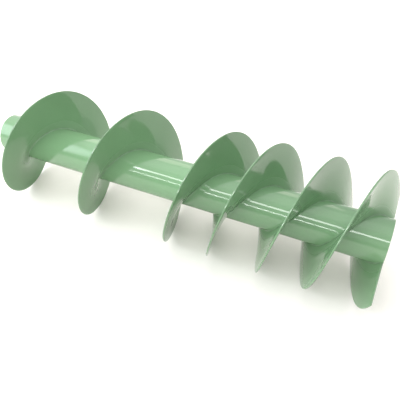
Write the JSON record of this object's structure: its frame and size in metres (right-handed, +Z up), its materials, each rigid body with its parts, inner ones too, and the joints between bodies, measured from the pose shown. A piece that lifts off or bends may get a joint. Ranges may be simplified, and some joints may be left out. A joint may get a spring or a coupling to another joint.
{
  "type": "conveyor auger screw",
  "caption": "Left-hand conveyor screw: plate flighting welded along a steel tube, double-start at one end, with a hexagon-bore drive hub and an idle-end ball bearing.",
  "frame": {"origin": "centre of the tube's end face at the drive end, on the screw's axis", "axes": "+X runs along the screw's axis from the drive end to the idle end, +Z is up with the screw lying level, and +Y is across it"},
  "size_m": [0.875, 0.26, 0.26],
  "materials": {
    "green_paint": "glossy pale green enamel over rolled and welded steel",
    "machined_steel": "turned and broached, lightly oiled",
    "bearing_steel": "ground and polished",
    "pressed_steel": "pressed sheet",
    "spring_steel": "blackened spring steel",
    "seal_rubber": "matte black rubber"
  },
  "bodies": {
    "auger": {"bearing_circlip": "spring_steel", "bearing_housing": "green_paint", "bearing_housing_weld": "green_paint", "bearing_inboard_seal": "seal_rubber", "bearing_outboard_seal": "seal_rubber", "bearing_outer_ring": "bearing_steel", "core_tube": "green_paint", "drive_hub_inner_disc": "green_paint", "drive_hub_inner_disc_weld": "green_paint", "drive_hub_outer_disc": "green_paint", "drive_hub_outer_disc_weld": "green_paint", "drive_hub_sleeve": "machined_steel", "drive_hub_to_tube_weld": "green_paint", "main_flight_plate_1": "green_paint", "main_flight_plate_2": "green_paint", "main_flight_plate_3": "green_paint", "main_flight_plate_4": "green_paint", "main_flight_plate_5": "green_paint", "main_flight_root_weld_drive_side": "green_paint", "main_flight_root_weld_idle_side": "green_paint", "main_flight_seam_weld_1": "green_paint", "main_flight_seam_weld_2": "green_paint", "main_flight_seam_weld_3": "green_paint", "main_flight_seam_weld_4": "green_paint", "second_flight_plate_1": "green_paint", "second_flight_plate_2": "green_paint", "second_flight_root_weld_drive_side": "green_paint", "second_flight_root_weld_idle_side": "green_paint", "second_flight_seam_weld_1": "green_paint"},
    "inner_ring": {"bearing_inner_ring": "bearing_steel"},
    "ball_cage": {"bearing_cage": "pressed_steel", "bearing_ball_1": "bearing_steel", "bearing_ball_2": "bearing_steel", "bearing_ball_3": "bearing_steel", "bearing_ball_4": "bearing_steel", "bearing_ball_5": "bearing_steel", "bearing_ball_6": "bearing_steel", "bearing_ball_7": "bearing_steel", "bearing_ball_8": "bearing_steel", "bearing_ball_9": "bearing_steel"}
  },
  "joints": [
    {"name": "spindle_spin", "type": "hinge", "parent": "auger", "child": "inner_ring", "pos_m": [0.8503, 0, 0], "axis": [1, 0, 0], "continuous": true},
    {"name": "cage_spin", "type": "hinge", "parent": "auger", "child": "ball_cage", "pos_m": [0.8503, 0, 0], "axis": [1, 0, 0], "continuous": true}
  ],
  "couplings": [
    {"joint": "cage_spin", "follows": "spindle_spin", "ratio": 0.3965}
  ]
}
